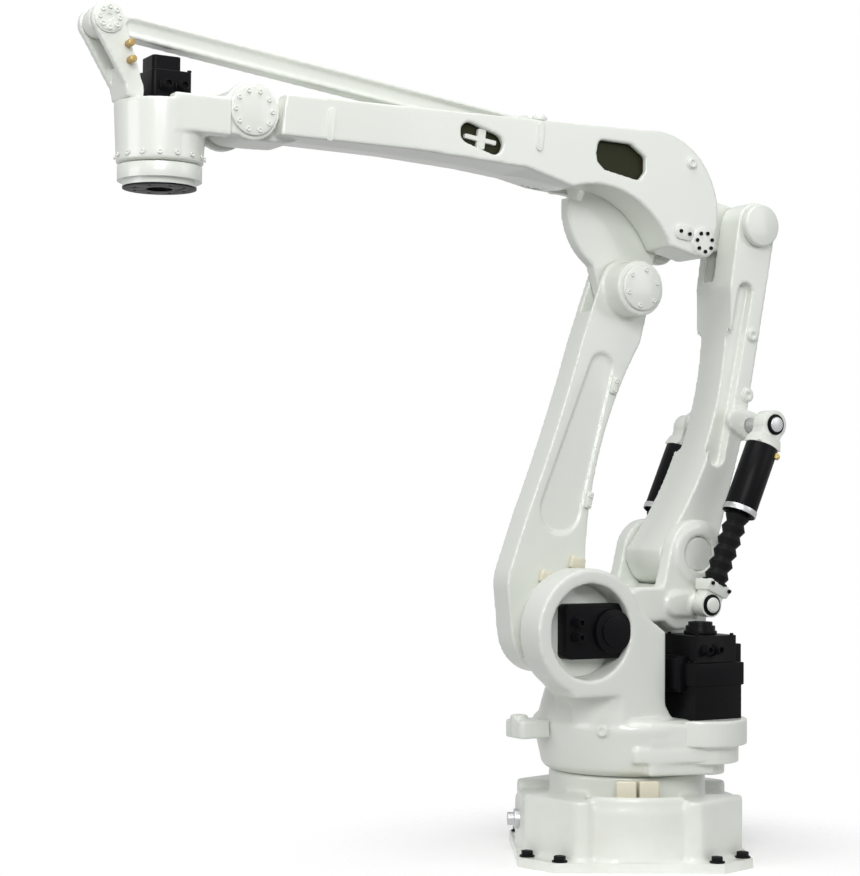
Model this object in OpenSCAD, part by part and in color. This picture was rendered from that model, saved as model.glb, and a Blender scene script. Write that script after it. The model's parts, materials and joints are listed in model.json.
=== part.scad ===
// Palletizing robot arm with four driven axes, in millimetres.
// +X is the front of the base and +Z is up; the floor is z = 0 and the first axis is the Z axis.
// The arm stands swung to the side and at the lean of the photograph; everything above the base is drawn
// in the plane of the arm (x forward, y to the left) and then swung about Z.

/* [Pose] */
// Swing of the arm from the base's front, degrees
arm_swing = 30; // [0:1:60]
// Lean of the lower arm and the rear link, backwards from upright, degrees
lower_lean = 15; // [5:1:20]
// Rise of the upper arm over the horizontal, degrees
upper_rise = 6.5; // [0:0.5:12]

/* [Linkage] */
// Forward place of the lower arm's pivot
shoulder_x = 325; // [300:5:350]
// Height of the lower arm's pivot
shoulder_z = 780; // [760:5:820]
// Length of the lower arm, and of the rear link
lower_len = 1200; // [1100:10:1300]
// The rear link's lower pivot, back from the lower arm's
rear_back = 507; // [490:1:530]
// The rear link's lower pivot, up from the lower arm's
rear_up = 250; // [235:1:265]
// Height of the third axis over the elbow pin
elbow_rise = 275; // [265:1:290]
// Length of the upper arm, and of the level rod
upper_len = 1500; // [1400:10:1600]
// The level rod's pins, forward of the arm's own
rod_fore = 445; // [430:1:460]
// The level rod's pins, up from the arm's own
rod_up = 240; // [230:1:260]
// Tool axis, forward of the wrist pin
wrist_fore = 250; // [240:1:270]
// Tool face, below the wrist pin
wrist_drop = 245; // [235:1:260]

/* [Base] */
// Half width of the foot between its flats
foot_half = 388; // [380:1:410]
// Cut of the foot's corners, as |x| + |y|
foot_cut = 664; // [655:1:690]
// Thickness of the foot
foot_t = 32; // [25:1:45]
// Larger half pitch of the foot's bolt holes
bolt_far = 357; // [345:1:365]
// Smaller half pitch of the foot's bolt holes
bolt_near = 257; // [245:1:265]
// Radius of a bolt hole of the foot
bolt_r = 12; // [9:0.5:14]
// Height of the base casting
base_h = 228; // [220:1:250]
// Radius of the base's drum
drum_r = 365; // [350:1:380]
// Radius of the base's neck
neck_r = 268; // [255:1:280]
// Top of the base's neck
neck_top = 296; // [285:1:310]

/* [Turret] */
// Radius of the turret's bowl
bowl_r = 325; // [310:1:335]
// Top of the turret's bowl
bowl_top = 484; // [470:1:500]
// Radius of the motor housing at the shoulder
shoulder_r = 207; // [200:1:220]
// Radius of the motor housing's mouth
mouth_r = 157; // [145:1:170]
// Near face of the motor housing
shoulder_y = 250; // [235:1:265]
// Depth of the motor housing
shoulder_t = 119; // [110:1:130]
// Half pitch of the two balancers
balancer_y = 225; // [220:1:235]

/* [Arms] */
// Far face of the lower arm
lower_y0 = -92; // [-110:1:-85]
// Near face of the lower arm
lower_y1 = 5; // [0:1:10]
// Half width of the upper arm at the elbow
upper_w = 138; // [132:1:150]
// Wall of the upper arm
upper_wall = 24; // [18:1:28]
// Half width of the rear link
rear_w = 100; // [90:1:110]
// Running clearance between moving castings
gap = 6; // [5:0.5:8]
// Play of a pin in its eye, on the radius
play = 0.05; // [0.02:0.01:0.1]

/* [Hidden] */
$fn = 96;
white = [0.90, 0.92, 0.88];
black = [0.05, 0.05, 0.055];
cream = [0.88, 0.85, 0.72];
silver = [0.70, 0.71, 0.70];
brass = [0.72, 0.55, 0.22];

lean_dir = [-sin(lower_lean), cos(lower_lean)];
S = [shoulder_x, shoulder_z];
E = S + lower_len * lean_dir;
R0 = S + [-rear_back, rear_up];
R1 = R0 + lower_len * lean_dir;
J = E + [0, elbow_rise];
W = J + upper_len * [cos(upper_rise), sin(upper_rise)];
D = J + [rod_fore, rod_up];
V = W + [rod_fore, rod_up];
T = [W[0] + wrist_fore, W[1] - wrist_drop];

cross_along = 500;
cross_back = 136;
P1 = R0 + [-sin(lower_lean) * cross_along - cos(lower_lean) * cross_back, cos(lower_lean) * cross_along - sin(lower_lean) * cross_back];
P0 = R0 + [14, -171];
bolt_places = [for (i = [-1, 1], k = [-1, 1]) each [[i * bolt_far, k * bolt_near], [i * bolt_near, k * bolt_far]]];
corner_step = 32;
corner_half = foot_half - 22;
corner_inset = 92;
panel_w = 306;
corner_bay = panel_w / 2 + gap;
panel_t = 10;
panel_back = 20;
stop_t = 45;
stop_w = 66;
panel_top = base_h + 16;
stop_at = drum_r - 47;
stop_h = 94;
shaft_r = 95;
neck_wall = 33;
lower_r = 152;
belly = [46, 140];
belly_r = 160;
lower_top_r = 108;
rear_waist = 42;
waist_r = 1500;
front_waist = [6453, 1249];
front_waist_r = 6330;
lower_head_y = 92;
lower_boss_r = 95;
lug_y0 = -60;
lug_y1 = -14;
lug_r = 96;
elbow_pin_r = 50;
rear_eye_r = 118;
rear_mid_r = 72;
rear_top_r = 84;
rear_bow = 60;
rear_pin_r = 60;
tail_r = 74;
tail_pin_r = 40;
cross_r = 26;
hub_r = 157;
hub_y = 92;
stub_r = 110;
front_r = 232;
horn_knee = [170, 150];
rod_y = 32;
rod_half = 34;
rod_eye_r = 50;
rod_pin_r = 25;
hood_r = 268;
hood_back = 30;
skin_from = 264;
skin_t = 22;
tail_boss = [-242, -80];
tail_boss_r = 54;
wrist_y = 124;
wrist_cheek = 36;
wrist_eye_r = 90;
wrist_pin_r = 45;
tool_drum_r = 140;
tool_r = 112;
spindle_r = 60;
tool_bore_r = 40;
tool_pcd = 160;
tool_bolts = 8;
tool_bolt_r = 6;
motor_at = (bowl_r - 50) * [cos(117), sin(117)];
housing_y = lower_y1 + gap;
pot_y = shoulder_y - shoulder_t;
floor_t = 22;
motor_w = 214;
motor_h = 96;
wall = 30;
seat = 0.3;
tuck = 0.03;
cheek_t = 62;
back_limit = 40;
tail_slot = 215;
cyl_r = 57;
cyl_wall = 4;
cyl_end = 340;
cyl_bore_len = 110;
folds = 6;
bellows_r = 42;
fold_pitch = (norm(P1 - P0) - cyl_end + 10 - 84) / folds;
foot_pin_r = 24;

function unit(a) = [cos(a), sin(a)];

// Plate standing in the plane of the arm: a drawing in (x, z), from y0 to y1
module slab(y0, y1) translate([0, y1, 0]) rotate([90, 0, 0]) linear_extrude(y1 - y0) children();

// Round pin across the plane of the arm, at p, from y0 to y1
module pin(p, r, y0, y1) translate([p[0], y1, p[1]]) rotate([90, 0, 0]) cylinder(r = r, h = y1 - y0);

// Bar with round ends of two sizes, drawn between two points; its sides lie a hair inside the ends' tangents
module bar(p, rp, q, rq) {
  a = atan2(q[1] - p[1], q[0] - p[0]);
  t = acos((rp - rq) / norm(q - p));
  translate(p) circle(rp);
  translate(q) circle(rq);
  polygon([p + (rp - tuck) * unit(a + t), p + (rp - tuck) * unit(a - t), q + (rq - tuck) * unit(a - t), q + (rq - tuck) * unit(a + t)]);
}

// The arm's plane, swung from the base's front
module swung() rotate([0, 0, arm_swing]) children();

// Drawing along the lower arm or rear link: x' forward, y' up along the link from its lower pivot
module along_link(p) translate(p) rotate(lower_lean) children();

// Drawing along the upper arm: x' along the arm from the third axis
module along_arm() translate(J) rotate(upper_rise) children();

// Block with its edges rounded, standing on z = 0
module rounded_block(x, y, z, r) linear_extrude(z) {
  square([x - 2 * r, y], center = true);
  square([x, y - 2 * r], center = true);
  for (i = [-1, 1], k = [-1, 1]) translate([i * (x / 2 - r), k * (y / 2 - r)]) circle(r);
}

// Square with cut corners, as the foot is
module foot_outline(half, cut) intersection() {
  square(2 * half, center = true);
  rotate(45) square(cut * sqrt(2), center = true);
}

module base_casting() color(white) difference() {
  union() {
    linear_extrude(foot_t) foot_outline(foot_half, foot_cut);
    cylinder(r = drum_r, h = base_h - corner_step);
    linear_extrude(base_h) intersection() {
      foot_outline(corner_half, foot_cut - corner_inset);
      difference() {
        square(2 * foot_half, center = true);
        square([2 * foot_half, 2 * corner_bay], center = true);
        square([2 * corner_bay, 2 * foot_half], center = true);
      }
    }
    cylinder(r = neck_r, h = neck_top);
  }
  for (p = bolt_places) translate([p[0], p[1], -1]) cylinder(r = bolt_r, h = foot_t + 2);
  for (p = bolt_places) translate([p[0], p[1], foot_t]) cylinder(r = 2.2 * bolt_r, h = base_h);
}

// Upright ring about the first axis
module ring(outer, inner, z0, z1) translate([0, 0, z0]) linear_extrude(z1 - z0) difference() { circle(outer); circle(inner); }

module base_panel() color(white) intersection() {
  union() {
    ring(drum_r + panel_t, drum_r + seat, foot_t + seat, panel_top);
    ring(drum_r + panel_t, drum_r - panel_back, base_h - corner_step, panel_top);
  }
  translate([-panel_w / 2, 0, 0]) cube([panel_w, 2 * drum_r, 2 * base_h]);
}

module base_stops() color(cream) for (s = [-1, 1]) rotate([0, 0, 90 + s * 6.5])
  translate([stop_at, 0, base_h - corner_step]) rounded_block(stop_t, stop_w, stop_h, 6);

module base_connector() color(silver) difference() {
  translate([drum_r - 20, 60, base_h * 0.55]) rotate([0, 90, 0]) {
    cylinder(r = 34, h = 46);
    cylinder(r = 22, h = 68);
  }
  cylinder(r = drum_r + seat, h = base_h);
}

module turret_casting() color(white) swung() difference() {
  union() {
    rotate_extrude() polygon([[0, neck_top + seat], [neck_r + 9, neck_top + seat], [neck_r + 26, neck_top + 18],
      [neck_r + 37, neck_top + 70], [neck_r + 47, neck_top + 111], [bowl_r, neck_top + 148], [bowl_r, bowl_top - 20],
      [bowl_r - 20, bowl_top], [0, bowl_top]]);
    translate([bowl_r * 0.34, -20, bowl_top - 20]) cylinder(r1 = bowl_r * 0.64, r2 = bowl_r * 0.55, h = 110);
    pin(S, shoulder_r, pot_y, shoulder_y);
    pin(S, shaft_r + neck_wall, housing_y, pot_y + 1);
    slab(pot_y - wall, shoulder_y) polygon([S + shoulder_r * 0.98 * unit(200), S + shoulder_r * 0.98 * unit(-25),
      [bowl_r - 40, bowl_top - 20], [-20, bowl_top - 20]]);
    slab(housing_y, shoulder_y - 60) polygon([S + [-shaft_r - neck_wall + 2, 0], S + [shaft_r + neck_wall - 2, 0],
      [bowl_r - 60, bowl_top - 20], [0, bowl_top - 20]]);
    slab(-rear_w - cheek_t, 85) polygon([S + [-170, 60], R0 + [60, -105], R0 + [-110, -140],
      [R0[0] - 70, bowl_top - 10], [140, bowl_top - 10]]);
    for (s = [-1, 1]) slab_between(s, rear_w + gap, rear_w + cheek_t) bar(R0, rear_eye_r, R0 + [70, -170], 90);
    for (s = [-1, 1]) slab_between(s, rear_w + cheek_t - 1, rear_w + cheek_t + 10) translate(R0) circle(rear_eye_r - 18);
    slab(60, rear_w + cheek_t) bar(R0 + [70, -170], 60, [60, R0[1] - 170], 60);
    for (s = [-1, 1]) slab_between(s, balancer_y - 72, balancer_y - 50) bar(P0, 44, P0 + [90, 0], 40);
    for (s = [-1, 1]) slab_between(s, balancer_y - 51, balancer_y - 32) translate(P0) circle(36);
    foot_pins();
  }
  pin(S, mouth_r, pot_y + floor_t, shoulder_y + 1);
  pin(S, shaft_r + play, lower_y1, shoulder_y);
  slab(-rear_w - gap, rear_w + gap) rear_sweep();
  pin(R0, rear_pin_r + play, -rear_w - 100, rear_w + 100);
  slab(lower_y0 - gap, lower_y1 + gap) lower_sweep();
}

// Mirror pair of plates at both sides of the arm's plane
module slab_between(s, y0, y1) slab(s > 0 ? y0 : -y1, s > 0 ? y1 : -y0) children();

// Room for the rear link's lower eye through its swing
module rear_sweep() {
  translate(R0) circle(rear_eye_r + gap);
  translate(R0 + [-250, 0]) square([500, 400]);
}

// Room for the lower arm, up to its limit backwards
module lower_sweep() {
  translate(S) circle(lower_r + gap);
  translate(S) rotate(back_limit) polygon([[-lower_r - gap, 0], [-80, 480], [-80, 900], [400, 900], [400, 0]]);
}

module front_lug() color(white) swung() difference() {
  translate([bowl_r + 10, -45, bowl_top - 72]) {
    rounded_block(210, 110, 60, 20);
    translate([78, 0, 0]) cylinder(r = 30, h = 78);
  }
  cylinder(r = bowl_r + seat, h = bowl_top + 100);
}

module j1_gearbox() color(white) swung() difference() {
  translate([motor_at[0], motor_at[1], 0]) {
    translate([0, 0, bowl_top - 0.9 * motor_h]) cylinder(r = 0.73 * motor_w, h = 0.9 * motor_h);
    translate([0, 0, bowl_top - 1.52 * motor_h]) cylinder(r = 0.6 * motor_w, h = motor_h);
    translate([0, 0, bowl_top - 1.94 * motor_h]) cylinder(r = 0.38 * motor_w, h = motor_h);
  }
  cylinder(r = bowl_r + seat, h = bowl_top + 1);
  cylinder(r = neck_r + gap, h = bowl_top);
}

module j1_motor() color(black) swung() translate([motor_at[0], motor_at[1], bowl_top]) {
  rounded_block(motor_w, motor_w, 1.18 * motor_h, 22);
  translate([0, 0, 1.18 * motor_h]) rounded_block(0.89 * motor_w, 0.89 * motor_w, 1.72 * motor_h, 16);
  translate([0, 0, 2.9 * motor_h]) cylinder(r = 0.28 * motor_w, h = 0.3 * motor_h);
  translate([0, 0, 3.2 * motor_h]) cylinder(r = 0.2 * motor_w, h = 0.14 * motor_h);
}

module j2_motor() color(black) swung() translate([S[0], pot_y + floor_t, S[1]]) rotate([-90, 0, 0]) {
  cylinder(r = mouth_r - gap, h = 12);
  translate([-0.11 * mouth_r, 0, 0]) rounded_block(1.4 * mouth_r, mouth_r, 0.4 * mouth_r, 18);
  translate([-0.4 * mouth_r, 0, 0]) cylinder(r = 0.4 * mouth_r, h = 0.54 * mouth_r);
  translate([-0.4 * mouth_r, 0, 0]) cylinder(r = 0.28 * mouth_r, h = 0.6 * mouth_r);
}

module lower_profile() difference() {
  along_link(S) {
    bar([0, 0], lower_r, belly, belly_r);
    bar(belly, belly_r, [0, lower_len], lower_top_r);
  }
  along_link(S) translate([-rear_waist - waist_r, lower_len / 2]) circle(waist_r, $fn = 360);
  along_link(S) translate(front_waist) circle(front_waist_r, $fn = 720);
}

module lower_arm() color(white) swung() difference() {
  union() {
    slab(lower_y0, lower_y1) lower_profile();
    pin(E, lower_boss_r, lower_y1 - 1, lower_head_y);
    pin(S, shaft_r, lower_y1 - 1, housing_y + wall - 2);
  }
  slab(lug_y0 - gap, lug_y1 + gap) along_link(S) translate([-300, lower_len - lug_r - gap - 10]) square([600, 600]);
  slab(lower_y0 - 1, lower_y0 + 30) along_link(S) bar([40, 300], 60, [20, lower_len - 300], 45);
  slab(lower_y1 - 9, lower_y1 + 1) along_link(S) bar([62, 0.33 * lower_len], 82, [26, 0.76 * lower_len], 48);
  pin(E, elbow_pin_r + play, lower_y0 - 1, lower_head_y + 1);
  pin(S, 110, lower_y0 - 1, lower_y0 + 40);
}

module elbow_pin_cover() color(white) swung() {
  pin(E, 78, lower_head_y, lower_head_y + 12);
  pin(E, 78, lower_y0 - 12, lower_y0);
}

module hose_pads() color(white) swung() for (k = [0.72, 0.38]) slab(lower_y1, lower_y1 + 12)
  along_link(S) translate([-rear_waist + 5, lower_len * k]) square([24, 56], center = true);

module arm_stops() color(cream) swung() for (p = [[64, lower_r + 8], [-42, lower_r + 84]]) slab(lower_y1, lower_y1 + 22)
  along_link(S) translate(p) square([56, 40], center = true);

module rear_profile() difference() {
  union() {
    along_link(R0) bar([0, 0], rear_eye_r, [-rear_bow, lower_len * 0.42], rear_mid_r);
    along_link(R0) bar([-rear_bow, lower_len * 0.42], rear_mid_r, [0, lower_len], rear_top_r);
  }
  along_link(R0) translate([-rear_bow + rear_mid_r - 22 + 1300, lower_len * 0.45]) circle(1300, $fn = 360);
}

module rear_link() color(white) swung() difference() {
  union() {
    slab(-rear_w, rear_w) rear_profile();
    slab(-rear_w - 25, rear_w + 25) bar(P1, 52, P1 + [60, 20], 40);
    pin(R0, rear_pin_r, -rear_w - cheek_t + 2, rear_w + cheek_t - 2);
  }
  slab(lug_y0 - gap, lug_y1 + gap) along_link(R0) translate([-300, lower_len - tail_slot]) square([600, 600]);
  for (s = [-1, 1]) slab_between(s, rear_w - 30, rear_w + 1) along_link(R0)
    bar([-rear_bow * 0.6, lower_len * 0.3], 34, [-10, lower_len * 0.8], 30);
  pin(R1, tail_pin_r + 0.3, -rear_w - 1, rear_w + 1);
  pin(P1, cross_r + play, -rear_w - 100, rear_w + 100);
}

module rear_pin_covers() color(white) swung() {
  for (s = [-1, 1]) slab_between(s, rear_w, rear_w + 30) translate(R1) circle(74);
}

module balancer_cross_pin() color(silver) swung() pin(P1, cross_r, -balancer_y - 42, balancer_y + 42);

module elbow_bracket() color(white) swung() {
  pin(J, hub_r, -hub_y, lug_y1);
  slab(lug_y0, lug_y1) {
    bar(J, hub_r + 20, E, lug_r);
    bar(J, hub_r - 4, R1, tail_r);
    intersection() {
      translate(J) circle(front_r);
      polygon([J, J + 400 * unit(8), J + 500 * unit(-40), E + [lug_r * 0.9, 0], E]);
    }
  }
  slab(-hub_y, -rod_y - gap) {
    bar(J, hub_r - 30, J + horn_knee, 60);
    bar(J + horn_knee, 60, D, rod_eye_r);
  }
  pin(J, stub_r, -upper_w - gap, -hub_y + 1);
  pin(E, elbow_pin_r, lower_y0 + 1, lower_head_y - 1);
  pin(R1, tail_pin_r, -rear_w + 1, rear_w - 1);
  pin(D, rod_pin_r, -hub_y + 1, rod_y);
}

module j3_motor() color(black) swung() translate([J[0], -upper_w - gap, J[1]]) rotate([90, 0, 0]) {
  cylinder(r = stub_r, h = 24);
  translate([-60, 0, 20]) rounded_block(150, 150, 86, 16);
  translate([-60, 0, 106]) cylinder(r = 50, h = 22);
}

module upper_profile() difference() {
  union() {
    intersection() {
      translate([-hood_back, 0]) circle(hood_r);
      polygon([[-400, -60], [-400, 400], [60, 400], [60, -60]]);
    }
    polygon([[-hood_back, hood_r], [490, 196], [upper_len - 60, 70], [upper_len - 60, -60], [930, 0], [500, 30], [0, -40]]);
    polygon([[-hood_back - hood_r + 10, 40], tail_boss - [tail_boss_r, 0], tail_boss - [0, tail_boss_r], [60, -100], [60, 60]]);
    translate(tail_boss) circle(tail_boss_r);
  }
  translate([175, -300]) circle(335);
}

// Underside of the upper arm, as thick as a cast wall
module upper_skin() difference() {
  upper_profile();
  translate([-10, skin_t]) upper_profile();
}

module upper_arm() color(white) swung() difference() {
  union() {
    for (s = [-1, 1]) slab_between(s, upper_w - upper_wall, upper_w) along_arm() upper_profile();
    slab(-upper_w + 5, upper_w - 5) along_arm() intersection() {
      upper_profile();
      union() {
        intersection() { upper_skin(); translate([skin_from, -200]) square([upper_len, 400]); }
        translate([upper_len - 200, -200]) square([400, 400]);
        difference() {
          polygon([[0, 0], 500 * unit(105), 500 * unit(120), 500 * unit(134)]);
          translate([-hood_back, 0]) circle(hood_r - upper_wall);
        }
      }
    }
    slab(lug_y1 + gap, upper_w - 5) along_arm() upper_skin();
    slab(-upper_w + 5, -hub_y - gap) along_arm() upper_skin();
    slab(lug_y1 + gap, upper_w + 8) along_arm() translate(tail_boss) circle(tail_boss_r - 4);
    slab(-upper_w + 2, -hub_y - gap) translate(J) circle(hub_r);
    slab(-wrist_y + gap + wrist_cheek, wrist_y - gap - wrist_cheek) along_arm()
      bar([upper_len - 140, 0], 62, [upper_len, 0], wrist_eye_r - 8);
  }
  for (s = [-1, 1]) slab_between(s, wrist_y - wrist_cheek - gap, 300) along_arm()
    translate([upper_len - wrist_eye_r - gap - 4, -300]) square([600, 600]);
  slab(-rod_y - gap - 2, rod_y + gap + 2) along_arm() translate([upper_len * 0.4, 82]) square([2000, 300]);
  pin(J, stub_r + play, -upper_w - 1, -hub_y);
  slab(upper_w - upper_wall - 1, upper_w + 1) along_arm() bar([640, 80], 34, [738, 96], 34);
  slab(upper_w - upper_wall - 1, upper_w + 1) along_arm() polygon([[232, 176], [222, 184], [98, 196], [34, 163], [28, 114], [50, 83], [62, 80], [198, 88], [228, 108], [238, 135]]);
  pin(W, wrist_pin_r + play, -upper_w, upper_w);
}

module wrist_pin_covers() color(white) swung() for (s = [-1, 1])
  slab_between(s, wrist_y, wrist_y + 10) translate(W) circle(wrist_eye_r - 14);

module level_rod() color(white) swung() difference() {
  slab(-rod_y, rod_y) {
    translate(D) circle(rod_eye_r - 2);
    translate(V) circle(rod_eye_r - 2);
    bar(D, rod_half, V, rod_half);
  }
  for (s = [-1, 1]) slab_between(s, rod_y - 12, rod_y + 1) bar(D + 0.06 * (V - D), rod_half - 14, D + 0.94 * (V - D), rod_half - 14);
  pin(D, rod_pin_r + play, -rod_y - 1, rod_y + 1);
  pin(V, rod_pin_r + 0.3, -rod_y - 1, rod_y + 1);
}

module wrist_casting() color(white) swung() {
  difference() {
    union() {
      for (s = [-1, 1]) slab_between(s, wrist_y - wrist_cheek, wrist_y) {
        translate(W) circle(wrist_eye_r);
        polygon([W + [0, 70], W + [165, 10], W + [wrist_fore, 10], W + [wrist_fore, -85], W + [40, -78], W + [0, -60]]);
      }
      slab(-wrist_y + 4, wrist_y - 4) polygon([W + [wrist_eye_r + gap + 6, 40], W + [165, 12], W + [wrist_fore, 12], W + [wrist_fore, -85],
        W + [wrist_eye_r + gap + 6, -76]]);
      translate([T[0], 0, 0]) rotate_extrude() polygon([[0, W[1] + 12], [tool_drum_r, W[1] + 12],
        [tool_drum_r - 8, T[1] + 76], [tool_drum_r - 14, T[1] + 72], [0, T[1] + 72]]);
    }
    pin(W, wrist_eye_r + gap - 6, -wrist_y + wrist_cheek, wrist_y - wrist_cheek);
    translate([T[0], 0, T[1] + 40]) cylinder(r = spindle_r + play, h = 80);
  }
  pin(W, wrist_pin_r, -wrist_y, wrist_y);
}

module link_bracket() color(white) swung() {
  for (s = [-1, 1]) slab_between(s, rod_y + gap, rod_y + gap + 28)
    bar([T[0] + 102, W[1] + 36], 24, V, rod_eye_r);
  slab(-rod_y - gap - 28, rod_y + gap + 28) polygon([[T[0] + 78, W[1] + 12], [T[0] + 132, W[1] + 12],
    [T[0] + 150, W[1] + 110], [T[0] + 112, W[1] + 110]]);
  pin(V, rod_pin_r, -rod_y - gap - 30, rod_y + gap + 30);
}

module j4_motor() color(black) swung() translate([T[0] - 12, 0, W[1] + 12]) {
  rounded_block(128, 128, 96, 12);
  translate([10, 0, 96]) rounded_block(92, 92, 46, 12);
}

module grease_fittings() color(brass) swung() for (k = [0, 1]) translate([T[0] + 128 + 6 * k, rod_y + gap + 28, W[1] + 120 + 48 * k])
  rotate([-90, 0, 0]) cylinder(r = 11, h = 34);

module tool_flange() color(black) swung() translate([T[0], 0, T[1]]) difference() {
  union() {
    cylinder(r = tool_r, h = 22);
    translate([0, 0, 22]) cylinder(r = tool_drum_r - 12, h = 44);
    cylinder(r = spindle_r, h = 110);
  }
  translate([0, 0, -1]) cylinder(r = tool_bore_r, h = 16);
  for (i = [0 : tool_bolts - 1]) rotate([0, 0, i * 360 / tool_bolts]) translate([tool_pcd / 2, 0, -1]) cylinder(r = tool_bolt_r, h = 19);
}

// Balancer between its two pins: a place at distance d from p towards q, turned to that line
module on_line(p, q, y) translate([p[0], y, p[1]]) rotate([0, atan2(q[0] - p[0], q[1] - p[1]), 0]) children();

module gas_cylinder(y) on_line(P1, P0, y) difference() {
  union() {
    rotate([90, 0, 0]) translate([0, 0, -30]) cylinder(r = 50, h = 60);
    translate([-42, -30, 0]) cube([84, 60, 86]);
    translate([0, 0, 80]) cylinder(r = cyl_r, h = cyl_end - 80);
  }
  translate([0, 0, cyl_end - cyl_bore_len]) cylinder(r = cyl_r - cyl_wall, h = cyl_bore_len + 1);
  rotate([90, 0, 0]) translate([0, 0, -40]) cylinder(r = cross_r + play, h = 80);
}

module bellows(y) on_line(P0, P1, y) difference() {
  union() {
    rotate([90, 0, 0]) translate([0, 0, -26]) cylinder(r = 42, h = 52);
    translate([-36, -26, 0]) cube([72, 52, 74]);
    rotate_extrude() polygon(concat([[0, 70], [44, 70], [44, 84]],
      [for (i = [0 : folds - 1]) each [[bellows_r - 11, 84 + i * fold_pitch], [bellows_r, 84 + (i + 0.5) * fold_pitch]]],
      [[bellows_r - 11, 84 + folds * fold_pitch], [0, 84 + folds * fold_pitch]]));
  }
  rotate([90, 0, 0]) translate([0, 0, -40]) cylinder(r = foot_pin_r + play, h = 80);
}

module foot_pins() for (s = [-1, 1]) slab_between(s, balancer_y - 60, balancer_y + 34) translate(P0) circle(foot_pin_r);

module near_cylinder() color(black) swung() gas_cylinder(balancer_y);
module far_cylinder() color(black) swung() gas_cylinder(-balancer_y);
module near_bellows() color(black) swung() bellows(balancer_y);
module far_bellows() color(black) swung() bellows(-balancer_y);

base_casting();
base_panel();
base_stops();
base_connector();
turret_casting();
front_lug();
j1_gearbox();
j1_motor();
j2_motor();
lower_arm();
elbow_pin_cover();
hose_pads();
arm_stops();
rear_link();
rear_pin_covers();
balancer_cross_pin();
elbow_bracket();
j3_motor();
upper_arm();
wrist_pin_covers();
level_rod();
wrist_casting();
link_bracket();
j4_motor();
grease_fittings();
tool_flange();
near_cylinder();
near_bellows();
far_cylinder();
far_bellows();
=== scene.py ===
import json
import math

import bpy
from mathutils import Matrix, Vector


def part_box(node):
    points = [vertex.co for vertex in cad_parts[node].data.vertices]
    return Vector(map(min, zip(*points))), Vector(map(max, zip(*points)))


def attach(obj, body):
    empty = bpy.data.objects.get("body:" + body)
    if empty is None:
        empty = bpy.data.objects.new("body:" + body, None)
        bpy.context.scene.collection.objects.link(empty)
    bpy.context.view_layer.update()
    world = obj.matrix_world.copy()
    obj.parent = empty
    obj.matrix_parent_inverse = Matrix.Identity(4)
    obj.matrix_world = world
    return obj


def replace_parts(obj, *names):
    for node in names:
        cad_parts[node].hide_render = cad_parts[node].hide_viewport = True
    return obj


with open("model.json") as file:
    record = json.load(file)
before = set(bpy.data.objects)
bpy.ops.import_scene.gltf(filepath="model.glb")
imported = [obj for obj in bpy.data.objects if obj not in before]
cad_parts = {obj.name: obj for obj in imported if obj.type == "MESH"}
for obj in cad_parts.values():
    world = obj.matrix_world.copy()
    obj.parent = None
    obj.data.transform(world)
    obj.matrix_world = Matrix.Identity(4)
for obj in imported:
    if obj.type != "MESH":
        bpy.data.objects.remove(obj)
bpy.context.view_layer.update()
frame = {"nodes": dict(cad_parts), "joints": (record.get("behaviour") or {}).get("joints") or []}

# Studio. The machine stands on a round pale sheet whose edge melts into a white room, and four large
# soft boxes hang round it: over the camera's left shoulder, at the right, overhead and in front.
scene = bpy.context.scene
scene.view_settings.view_transform = "Standard"
floor_radius, floor_rim = 2.6, 1.2
fade_start, fade_end = 0.42, 1.25
room_light, white_wall, mirrored_wall = 0.28, 0.72, 0.55


def fresh():
    """Leaves edit mode and lets go of everything that is selected."""
    if bpy.context.object and bpy.context.object.mode != "OBJECT":
        bpy.ops.object.mode_set(mode="OBJECT")
    bpy.ops.object.select_all(action="DESELECT")


class Wire:
    """One socket of a finish. Sums on it add Math nodes, and node() adds a node of any other kind."""

    def __init__(self, tree, socket=None):
        self.tree, self.socket = tree, socket

    def feed(self, entry, value):
        if isinstance(value, Wire):
            self.tree.links.new(value.socket, entry)
        else:
            entry.default_value = value

    def node(self, kind, settings=None, sockets=None, out=0):
        made = self.tree.nodes.new("ShaderNode" + kind)
        for name, value in (settings or {}).items():
            if name == "stops":
                ramp = made.color_ramp.elements
                while len(ramp) < len(value):
                    ramp.new(1.0)
                for stop, (at, level) in zip(ramp, value):
                    stop.position, stop.color = at, (level, level, level, 1.0)
            else:
                setattr(made, name, value)
        for name, value in (sockets or {}).items():
            self.feed(made.inputs[name], value)
        return Wire(self.tree, made.outputs[out])

    def sum(self, operation, a, b):
        return self.node("Math", {"operation": operation}, {0: a, 1: b})

    def __add__(self, other):
        return self.sum("ADD", self, other)

    def __mul__(self, other):
        return self.sum("MULTIPLY", self, other)


def tone(colour, by=1.0):
    """A colour made lighter or darker, with the fourth value that a socket wants."""
    return tuple(level * by for level in colour) + (1,)


def blend(wire, mask, low, high):
    """Colour between two, by a mask."""
    return wire.node("Mix", {"data_type": "RGBA"}, {0: mask, 6: low, 7: high}, 2)


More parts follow.
